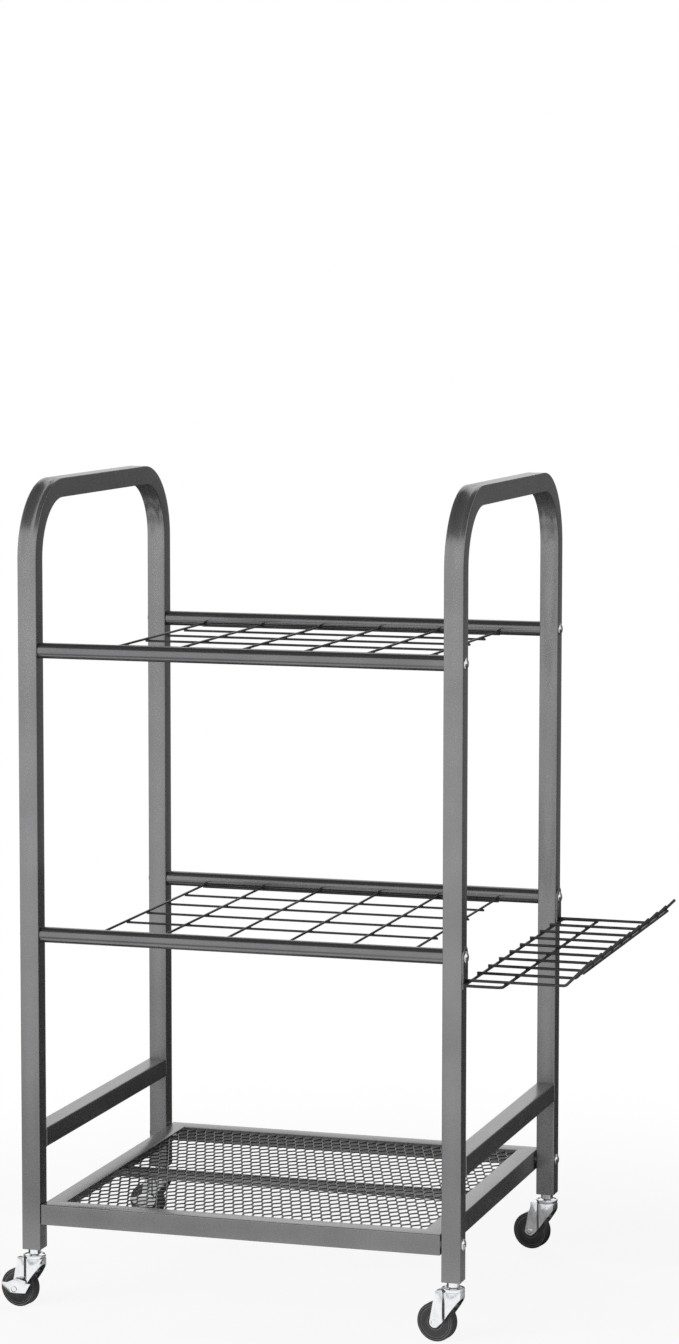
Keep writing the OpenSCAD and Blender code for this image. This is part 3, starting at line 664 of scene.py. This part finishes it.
ANGLE_CORNER, ANGLE_FILLET, ANGLE_SOFT, SOFT_SHARE = 1.2, 0.8, 0.3, 0.3
CORNER_WELD, CORNER_WELD_END, CORNER_WELD_STEPS = 0.9, 1.5, 14
STRAND_W, STRAND_T, STRAND_TILT, STRAND_CORNER = 1.42, 1.05, radians(80), 0.16
CELL_X, CELL_Y, BOND, MESH_MARGIN = 10.5, 30.8, 2.2, 1
CROSSBAR_CORNER = 0.7
SHELF_THREAD_REACH = 6


def angle_section():
    """The angle's outline: distance in from its outer face, and height below its top face."""
    soft, tip = ANGLE_SOFT, ANGLE_SOFT * SOFT_SHARE
    points = [(0, -ANGLE_H + soft)]
    points += [(ANGLE_CORNER - ANGLE_CORNER * cos(a), -ANGLE_CORNER + ANGLE_CORNER * sin(a))
               for a in quarter_turn(steps=6)]
    points += [(ANGLE_W - soft, 0), (ANGLE_W - tip, -tip), (ANGLE_W, -soft),
               (ANGLE_W, -ANGLE_T + soft), (ANGLE_W - soft, -ANGLE_T)]
    inner = ANGLE_T + ANGLE_FILLET
    points += [(inner - ANGLE_FILLET * sin(a), -inner + ANGLE_FILLET * cos(a))
               for a in quarter_turn(steps=5)]
    points += [(ANGLE_T, -ANGLE_H + soft), (ANGLE_T - soft, -ANGLE_H), (soft, -ANGLE_H)]
    return points


def angle_rail(along, inwards, half, edge):
    """A mitred angle rail; along and inwards are unit vectors, edge its distance from the middle."""
    shape = Shape()
    along, inwards = Vector(along), Vector(inwards)
    rings = []
    for share in RAIL_SHARES:
        ring = []
        for a, z in angle_section():
            reach = share * (half - a)
            ring.append(along * reach - inwards * (edge - a) + Vector((0, 0, SHELF_TOP + z)))
        rings.append(ring)
    shape.rings(rings)
    return shape


def corner_welds():
    """Beads along the mitres, under the rails' top flanges."""
    shape = Shape()
    length = ANGLE_W - CORNER_WELD_END - ANGLE_T
    for sx in (-1, 1):
        for sy in (-1, 1):
            path = []
            for k in range(CORNER_WELD_STEPS + 1):
                a = ANGLE_T + length * k / CORNER_WELD_STEPS
                path.append((sx * (SHELF_X - a), sy * (SHELF_Y - a), SHELF_TOP - ANGLE_T))
            shape.wire(path, rippled(CORNER_WELD, wave=2.1), sides=8)
    return shape


def expanded_mesh():
    """Raised expanded metal: tilted strands that meet side by side at each bond."""
    shape = Shape()
    wide = Vector((cos(STRAND_TILT), 0, sin(STRAND_TILT)))
    thick = Vector((-sin(STRAND_TILT), 0, cos(STRAND_TILT)))
    section = rounded_section(STRAND_W, STRAND_T, STRAND_CORNER, steps=1)
    half_x, half_y = SHELF_X - ANGLE_W + MESH_LAP, SHELF_Y - ANGLE_W + MESH_LAP
    z = MESH_TOP - MESH_T / 2
    rows = int(half_y / (CELL_Y / 2)) + 1
    columns = int(half_x / CELL_X) + 1
    for row in range(-rows, rows + 1):
        for column in range(-columns, columns + 1):
            start = Vector((column * CELL_X + (row % 2) * CELL_X / 2, row * CELL_Y / 2, z))
            for lean in (-1, 1):
                end = start + Vector((lean * CELL_X / 2, CELL_Y / 2, 0))
                if max(abs(start.x), abs(end.x)) > half_x - MESH_MARGIN:
                    continue
                if max(abs(start.y), abs(end.y)) > half_y:
                    continue
                offset, bond = wide * (lean * STRAND_W / 2), Vector((0, BOND, 0))
                path = [start + offset, start + offset + bond, end - offset - bond, end - offset]
                shape.rings([[p + wide * a + thick * b for a, b in section] for p in path])
    return shape


def crossbar():
    """The square bar under the middle of the mesh."""
    shape = Shape()
    half = SHELF_X - ANGLE_T
    z = MESH_TOP - MESH_T - CROSSBAR / 2
    section = rounded_section(CROSSBAR, CROSSBAR, CROSSBAR_CORNER, steps=4)
    shape.rings([[Vector((x, a, z + b)) for a, b in section] for x in (-half, 0, half)])
    return shape


for side, along, inwards, half, edge in (
        ("front", (1, 0, 0), (0, 1, 0), SHELF_X, SHELF_Y),
        ("rear", (1, 0, 0), (0, -1, 0), SHELF_X, SHELF_Y),
        ("left", (0, 1, 0), (1, 0, 0), SHELF_Y, SHELF_X),
        ("right", (0, 1, 0), (-1, 0, 0), SHELF_Y, SHELF_X)):
    made(f"shelf_{side}_rail_skin", angle_rail(along, inwards, half, edge), COAT, [f"shelf_{side}_rail"])
made("shelf_corner_welds", corner_welds(), COAT)
made("shelf_mesh_skin", expanded_mesh(), LIT_MESH_COAT, ["shelf_mesh"])
made("shelf_crossbar_skin", crossbar(), COAT, ["shelf_crossbar"])

shelf_bolts = Shape()
for side in (-1, 1):
    for y in (-POST_Y, POST_Y):
        bolt(shelf_bolts, (side * OUTER_X, y, SHELF_BOLT_Z), (side, 0, 0),
             TUBE + SHELF_GAP + ANGLE_T + SHELF_THREAD_REACH)
made("shelf_bolts_skin", shelf_bolts, ZINC, ["shelf_bolts"])
refined("shelf_nuts_skin", "shelf_nuts", ZINC, width=0.4)
refined("shelf_washers_skin", "shelf_washers", ZINC, width=0.15)


# Side tray

RING_WELD, LIP_WELD = (1.7, 1.7, 1), (1.4, 1.7, 1.4)
TRAY_Y = places(TRAY_N, TRAY_PITCH)
SLOPE = Vector((cos(LIP_ANGLE), 0, sin(LIP_ANGLE)))
BELOW_SLOPE = Vector((sin(LIP_ANGLE), 0, -cos(LIP_ANGLE)))


def tray_wires():
    """Wires that leave the frame level and turn up at the lip."""
    shape = Shape()
    for y in TRAY_Y:
        path = [Vector((TRAY_START, y, TRAY_Z)), Vector(((TRAY_START + TRAY_BEND_X) / 2, y, TRAY_Z))]
        path += arc((TRAY_BEND_X, y, TRAY_Z + TRAY_BEND), (0, 0, -1), (1, 0, 0), TRAY_BEND, 0, LIP_ANGLE)
        path.append(path[-1] + SLOPE * LIP)
        shape.wire(path, TRAY_R)
    return shape


def tray_ring():
    """The closed wire under the tray wires, welded to each of them twice."""
    shape = Shape()
    z = TRAY_Z - 2 * TRAY_R - WELD_GAP
    middle = TRAY_START + TRAY_R + RING_W / 2
    path = []
    for index, (sx, sy) in enumerate(((1, 1), (-1, 1), (-1, -1), (1, -1))):
        corner = (middle + sx * (RING_W / 2 - RING_CORNER), sy * (RING_L / 2 - RING_CORNER), z)
        path += arc(corner, (1, 0, 0), (0, 1, 0), RING_CORNER, pi / 2 * index, pi / 2 * (index + 1))
    shape.wire(path, TRAY_R, closed=True)
    for y in TRAY_Y:
        for x in (middle - RING_W / 2, middle + RING_W / 2):
            shape.blob((x, y, TRAY_Z - TRAY_R), RING_WELD)
    return shape


def lip_wire():
    """The straight wire under the upturned ends."""
    shape = Shape()
    reach = TRAY_Y[-1] + TRAY_R
    at = Vector((TRAY_BEND_X, 0, TRAY_Z + TRAY_BEND)) + SLOPE * LIP * LIP_WIRE_SHARE
    at += BELOW_SLOPE * (TRAY_BEND + 2 * TRAY_R + WELD_GAP)
    shape.wire([at + Vector((0, y, 0)) for y in (-reach, 0, reach)], TRAY_R)
    for y in TRAY_Y:
        shape.blob(at - BELOW_SLOPE * TRAY_R + Vector((0, y, 0)), LIP_WELD)
    return shape


made("tray_wires_skin", tray_wires(), WIRE_COAT, ["tray_wires"])
made("tray_ring_skin", tray_ring(), WIRE_COAT, ["tray_ring"])
made("tray_lip_wire_skin", lip_wire(), WIRE_COAT, ["tray_lip_wire"])
refined("tray_tabs_skin", "tray_tabs", COAT, width=0.35)


# Casters

BORE_CHAMFER = 0.3
# From hub to tyre: radius, and depth under the wheel's side
WHEEL_SIDE = ((5.9, 0), (6.2, 0.1), (6.4, 0.6), (7.2, 0.7), (7.5, 0.3), (8.2, 0.25), (15.6, 0.25),
              (16.1, 0.35), (16.4, 0.7), (17.2, 0.7), (17.4, 0.2), (17.7, 0))
# The mould line in the tread's middle: depth, and place from the middle
MOULD_LINE = ((0, 0.25), (0.08, 0.1))
HEAD_GAP, HEAD_CUP_H, HEAD_CUP_IN, HEAD_CUP_SOFT, HEAD_CUP_EDGE = 0.6, 3.6, 0.5, 0.3, 0.2
# From the cup up over the rim: distance in from the head's radius, and depth under its top
HEAD_RIM_LINE = ((0.5, 2.4), (0.15, 2.25), (0, 2), (0, 0.5), (0.15, 0.15), (0.5, 0), (1.1, 0),
                 (1.35, 0.2), (1.6, 0.9), (2, 1))
HEAD_BORE_EDGE, HEAD_BORE_TOP = 0.6, 0.8
# The riveted foot that holds the head: radius, and depth under the collar
STEM_FOOT = ((0.5, 8.6), (8.5, 8.6), (9, 8.2), (9, 6.8), (8.6, 6.4), (STEM_R, 6.4))
COLLAR_EDGE, COLLAR_TOP_EDGE, COLLAR_SKIN = 0.4, 0.5, 0.02
THREAD_DEPTH, THREAD_START, THREAD_STEP, THREAD_END, THREAD_TAPER = 0.25, 0.6, 0.5, 1.5, 0.8
RIVET_R, RIVET_H, RIVET_AXIS_R, RIVET_FOOT, RIVET_FOOT_H = 3.1, 0.8, 0.3, 0.15, 0.1
RIVET_DOME_SHARES = ((1, 0.45), (0.93, 0.75), (0.75, 0.95), (0.4, 1))
LEVER_BOSS_R = 3.6


def wheel_profile():
    """The wheel's outline round the axle: (radius, place along the axle)."""
    half, bore = WHEEL_W / 2, AXLE_R + SLIP
    side = [(bore, half - BORE_CHAMFER), (bore + BORE_CHAMFER, half)]
    side += [(r, half - depth) for r, depth in WHEEL_SIDE]
    tyre_r = WHEEL_R - WHEEL_SHOULDER
    side += [(tyre_r + WHEEL_SHOULDER * sin(a), half - WHEEL_SHOULDER + WHEEL_SHOULDER * cos(a))
             for a in quarter_turn(steps=6)]
    side += [(WHEEL_R - depth, place) for depth, place in MOULD_LINE]
    return side + [(r, -place) for r, place in side[::-1]]


def head_profile():
    """The swivel head: a cup under a rolled rim, open round the stem."""
    top = CASTER_H - COLLAR_H - HEAD_GAP
    low = top - HEAD_CUP_H
    r, bore = HEAD_D / 2, STEM_R + SLIP
    profile = [(bore, low), (r - HEAD_CUP_IN - HEAD_CUP_SOFT, low), (r - HEAD_CUP_IN, low + HEAD_CUP_EDGE)]
    profile += [(r - inset, top - depth) for inset, depth in HEAD_RIM_LINE]
    return profile + [(STEM_R + HEAD_BORE_EDGE, top - HEAD_RIM_LINE[-1][1]), (bore, top - HEAD_BORE_TOP)]


def stem_profile():
    """The stem: its riveted foot, the collar under the post, and a threaded shank."""
    low = CASTER_H - COLLAR_H
    profile = [(r, low - depth) for r, depth in STEM_FOOT]
    profile += [(STEM_R, low), (COLLAR_R - COLLAR_EDGE, low), (COLLAR_R, low + COLLAR_EDGE),
                (COLLAR_R, low + COLLAR_H - COLLAR_TOP_EDGE),
                (COLLAR_R - COLLAR_EDGE, CASTER_H - COLLAR_SKIN), (STEM_R, CASTER_H - COLLAR_SKIN)]
    for k in range(round((STEM_L - THREAD_END) / THREAD_STEP)):
        groove = THREAD_DEPTH if k % 2 else 0
        profile.append((STEM_R - groove, CASTER_H + THREAD_START + k * THREAD_STEP))
    return profile + [(STEM_R - THREAD_TAPER, CASTER_H + STEM_L)]


def rivet(shape, at, outwards):
    """A low domed rivet head."""
    profile = [(RIVET_AXIS_R, 0), (RIVET_R - RIVET_FOOT, 0), (RIVET_R, RIVET_FOOT_H)]
    profile += [(RIVET_R * width, RIVET_H * height) for width, height in RIVET_DOME_SHARES]
    shape.lathe(profile + [(RIVET_AXIS_R, RIVET_H)], turned(outwards, at), sides=40)


def axle(braked):
    """The riveted axle; on a braked caster it carries the lever's boss on its near side."""
    shape = Shape()
    along, sides = turned((0, 1, 0)), 32
    far = FORK_INNER / 2 + FORK_T
    near = HEAD_D / 2 + 3 * MOVING_GAP + LEVER_T if braked else far
    shape.lathe([(AXLE_R, -far), (AXLE_R, near)], along, sides)
    rivet(shape, (0, -far, 0), (0, -1, 0))
    rivet(shape, (0, near, 0), (0, 1, 0))
    if braked:
        boss_end = near - LEVER_T - 2 * MOVING_GAP
        shape.lathe([(LEVER_BOSS_R, far), (LEVER_BOSS_R, boss_end)], along, sides)
    return shape


def caster(name, at, braked):
    """One swivel caster: its stem stays with the rack, the rest turns."""
    place = Matrix.Translation(at) @ Matrix.Rotation(pi - CASTER_YAW, 4, "Z")
    hub = place @ Matrix.Translation((TRAIL, 0, WHEEL_R))
    swivel = name + "_caster"
    stem, head, wheel = Shape(), Shape(), Shape()
    stem.lathe(stem_profile())
    made(name + "_stem_skin", stem, ZINC, [name + "_stem"], local=place)
    head.lathe(head_profile(), sides=64, closed=True)
    made(name + "_head_skin", head, ZINC, [name + "_head"], swivel, place)
    refined(name + "_fork_skin", name + "_fork", ZINC, swivel, width=0.35, segments=3)
    made(name + "_axle_skin", axle(braked), ZINC, [name + "_axle"], swivel, hub)
    wheel.lathe(wheel_profile(), turned((0, 1, 0)), sides=96, closed=True)
    made(name + "_wheel_skin", wheel, WHEEL, [name + "_wheel"], name + "_roller", hub)
    if braked:
        refined(name + "_brake_lever_skin", name + "_brake_lever", ZINC, name + "_brake",
                width=0.25, segments=3)


def plated(node):
    """Gives a hidden CAD node, which stays as it is, the look of the plated metal."""
    for spot in frame["nodes"][node].material_slots:
        spot.material = ZINC["look"]


for end, y in zip(ENDS, (-POST_Y, POST_Y)):
    for hand, x in zip(HANDS, (-POST_X, POST_X)):
        caster(f"{end}_{hand}", (x, y, 0), braked=hand == "left")
        plated(f"{end}_{hand}_balls")
plated("rod_end_inserts")
refined("post_end_plugs_skin", "post_end_plugs", PLASTIC, width=0.3)


# Stage, in metres: floor, light and camera

FLOOR_HALF, FLOOR_COLOUR = 30, (0.75, 0.75, 0.75, 1)
# The camera sees this share of plain white in the floor near the rack, and all white farther off
NEAR_WHITE, WHITE_FROM, WHITE_TO = 0.9, 0.35, 1.1
# Reflections show the floor as white in front of this line, and as lit floor behind it
MIRROR_FROM_Y, MIRROR_TO_Y = -0.19, -0.21
SOFT_LIGHT = 0.25
CARD_HEIGHT = 0.003
# Cards on the floor, from the rack's middle: name, shade and outline
FLOOR_CARDS = (
    ("rear_floor_card", 0.06, ((-2.2, 0.165), (4.0, 0.165), (4.0, 2.4), (-2.2, 2.4))),
    ("left_floor_card", 0.06,
     ((-0.23, -0.215), (-0.23, 0.0), (-2.2, 0.0), (-2.2, -0.735), (-0.4, -0.258))),
    ("mid_floor_card", 0.06,
     ((0.17, -0.225), (0.17, -0.06), (-0.06, -0.06), (-0.06, -0.258), (0.03, -0.258))),
    ("front_left_floor_card", 0.4,
     ((-2.2, -1.1), (-0.1, -1.1), (-0.1, -0.54), (-0.8, -0.54), (-2.2, -0.8))),
    ("front_right_floor_card", 0.6, ((-0.1, -1.0), (1.5, -1.0), (1.5, -0.54), (-0.1, -0.54))))
# Cards that stand or hang round the rack, in the part's frame: name, shade and corners
HIGH_CARDS = (
    ("right_card", 0.2, ((0.0, 2.4, 0.0), (4.0, 2.4, 0.0), (4.0, 2.4, 2.2), (0.0, 2.4, 2.2))),
    ("left_card", 0.03,
     ((-1.05, 1.4, 0.01), (-2.2, 0.0, 0.01), (-2.2, 0.0, 1.6), (-1.05, 1.4, 1.6))),
    ("ceiling_card", 0.1, ((-1.3, -1.5, 2.0), (1.3, -1.5, 2.0), (1.3, 1.1, 2.0), (-1.3, 1.1, 2.0))))


def stage_look(name):
    look = bpy.data.materials.new(name)
    look.use_nodes = True
    nodes, links = look.node_tree.nodes, look.node_tree.links
    nodes.clear()
    return look, nodes, links, nodes.new("ShaderNodeOutputMaterial")


def stage_plane(name, corners, look):
    """A flat polygon that belongs to the stage, not to the object."""
    mesh = bpy.data.meshes.new(name)
    mesh.from_pydata(corners, [], [tuple(range(len(corners)))])
    mesh.materials.append(look)
    plane = bpy.data.objects.new(name, mesh)
    bpy.context.scene.collection.objects.link(plane)
    return plane


def floor_look():
    """Matt floor that takes shadows, mixed with white for the camera and for reflections in front."""
    look, nodes, links, out = stage_look("floor_white")
    matt = nodes.new("ShaderNodeBsdfDiffuse")
    matt.inputs["Color"].default_value = FLOOR_COLOUR
    white = nodes.new("ShaderNodeEmission")
    mix = nodes.new("ShaderNodeMixShader")
    path = nodes.new("ShaderNodeLightPath")
    coords = nodes.new("ShaderNodeTexCoord").outputs["Object"]
    length = nodes.new("ShaderNodeVectorMath")
    length.operation = "LENGTH"
    links.new(coords, length.inputs[0])
    split = nodes.new("ShaderNodeSeparateXYZ")
    links.new(coords, split.inputs[0])
    fade = mapped(nodes, links, length.outputs["Value"], WHITE_FROM, WHITE_TO, 0, 1, smooth=True)
    pale = mapped(nodes, links, fade, 0, 1, NEAR_WHITE, 1)
    ahead = mapped(nodes, links, split.outputs["Y"], MIRROR_FROM_Y, MIRROR_TO_Y, 0, 1, smooth=True)
    view = maths(nodes, links, "MULTIPLY", path.outputs["Is Camera Ray"], pale)
    mirror = maths(nodes, links, "MULTIPLY", path.outputs["Is Glossy Ray"], ahead)
    links.new(maths(nodes, links, "MAXIMUM", view, mirror), mix.inputs["Fac"])
    links.new(matt.outputs[0], mix.inputs[1])
    links.new(white.outputs[0], mix.inputs[2])
    links.new(mix.outputs[0], out.inputs["Surface"])
    return look


def floor():
    half = FLOOR_HALF
    corners = ((-half, -half, 0), (half, -half, 0), (half, half, 0), (-half, half, 0))
    stage_plane("floor", corners, floor_look())


def world():
    """White for the camera and in reflections, a soft low light for everything else."""
    studio = bpy.data.worlds.new("studio")
    bpy.context.scene.world = studio
    studio.use_nodes = True
    nodes, links = studio.node_tree.nodes, studio.node_tree.links
    nodes.clear()
    out = nodes.new("ShaderNodeOutputWorld")
    seen, soft = nodes.new("ShaderNodeBackground"), nodes.new("ShaderNodeBackground")
    seen.inputs["Color"].default_value = (1, 1, 1, 1)
    soft.inputs["Color"].default_value = (1, 1, 1, 1)
    soft.inputs["Strength"].default_value = SOFT_LIGHT
    mix = nodes.new("ShaderNodeMixShader")
    path = nodes.new("ShaderNodeLightPath")
    share = path.outputs["Is Camera Ray"]
    for kind in ("Is Glossy Ray", "Is Transmission Ray"):
        share = maths(nodes, links, "MAXIMUM", share, path.outputs[kind])
    links.new(share, mix.inputs["Fac"])
    links.new(soft.outputs[0], mix.inputs[1])
    links.new(seen.outputs[0], mix.inputs[2])
    links.new(mix.outputs[0], out.inputs["Surface"])


def lamp(name, at, size, watts, aim=(0, 0, 0.4)):
    """An area lamp that lights the object without showing in its reflections."""
    data = bpy.data.lights.new(name, "AREA")
    data.shape, data.energy = "RECTANGLE", watts
    data.size, data.size_y = size
    light = bpy.data.objects.new(name, data)
    light.location = at
    light.rotation_euler = (Vector(aim) - Vector(at)).to_track_quat("-Z", "Y").to_euler()
    light.visible_glossy = False
    bpy.context.scene.collection.objects.link(light)


def card(name, shade, corners):
    """A studio card that the camera doesn't see; its even grey shows on one side of the object."""
    look, nodes, links, out = stage_look(name)
    even = nodes.new("ShaderNodeEmission")
    even.inputs["Color"].default_value = (shade, shade, shade, 1)
    links.new(even.outputs[0], out.inputs["Surface"])
    plane = stage_plane(name, corners, look)
    plane.visible_camera = False
    plane.visible_shadow = False


def camera():
    """The photo's own viewpoint, found from the rack's straight edges."""
    focal_px, long_side_px, sensor_mm = 3866.84, 1344, 36
    azimuth, pitch, roll = radians(17.007), radians(5.929), radians(0.063)
    nearest, farthest = 0.05, 100
    spot = Vector((1220.40, -3842.65, 1067.15)) * MM + MIDDLE
    forward = Vector((-sin(azimuth) * cos(pitch), cos(azimuth) * cos(pitch), -sin(pitch)))
    level = Vector((cos(azimuth), sin(azimuth), 0))
    upright = level.cross(forward)
    right = level * cos(roll) + upright * sin(roll)
    up = upright * cos(roll) - level * sin(roll)
    data = bpy.data.cameras.new("camera")
    data.sensor_width = sensor_mm
    data.lens = focal_px / long_side_px * sensor_mm
    data.clip_start, data.clip_end = nearest, farthest
    view = bpy.data.objects.new("camera", data)
    view.matrix_world = Matrix.Translation(spot) @ Matrix((right, up, -forward)).transposed().to_4x4()
    bpy.context.scene.collection.objects.link(view)
    bpy.context.scene.camera = view


floor()
world()
lamp("key", at=(-2.0, -3.1, 1.6), size=(2.4, 1.8), watts=130)
lamp("rear", at=(-0.6, 2.6, 2.4), size=(2.4, 1.2), watts=40)
for name, shade, outline in FLOOR_CARDS:
    card(name, shade, [(x + MIDDLE.x, y, CARD_HEIGHT) for x, y in outline])
for name, shade, corners in HIGH_CARDS:
    card(name, shade, corners)
camera()
bpy.context.scene.view_settings.view_transform = "Standard"
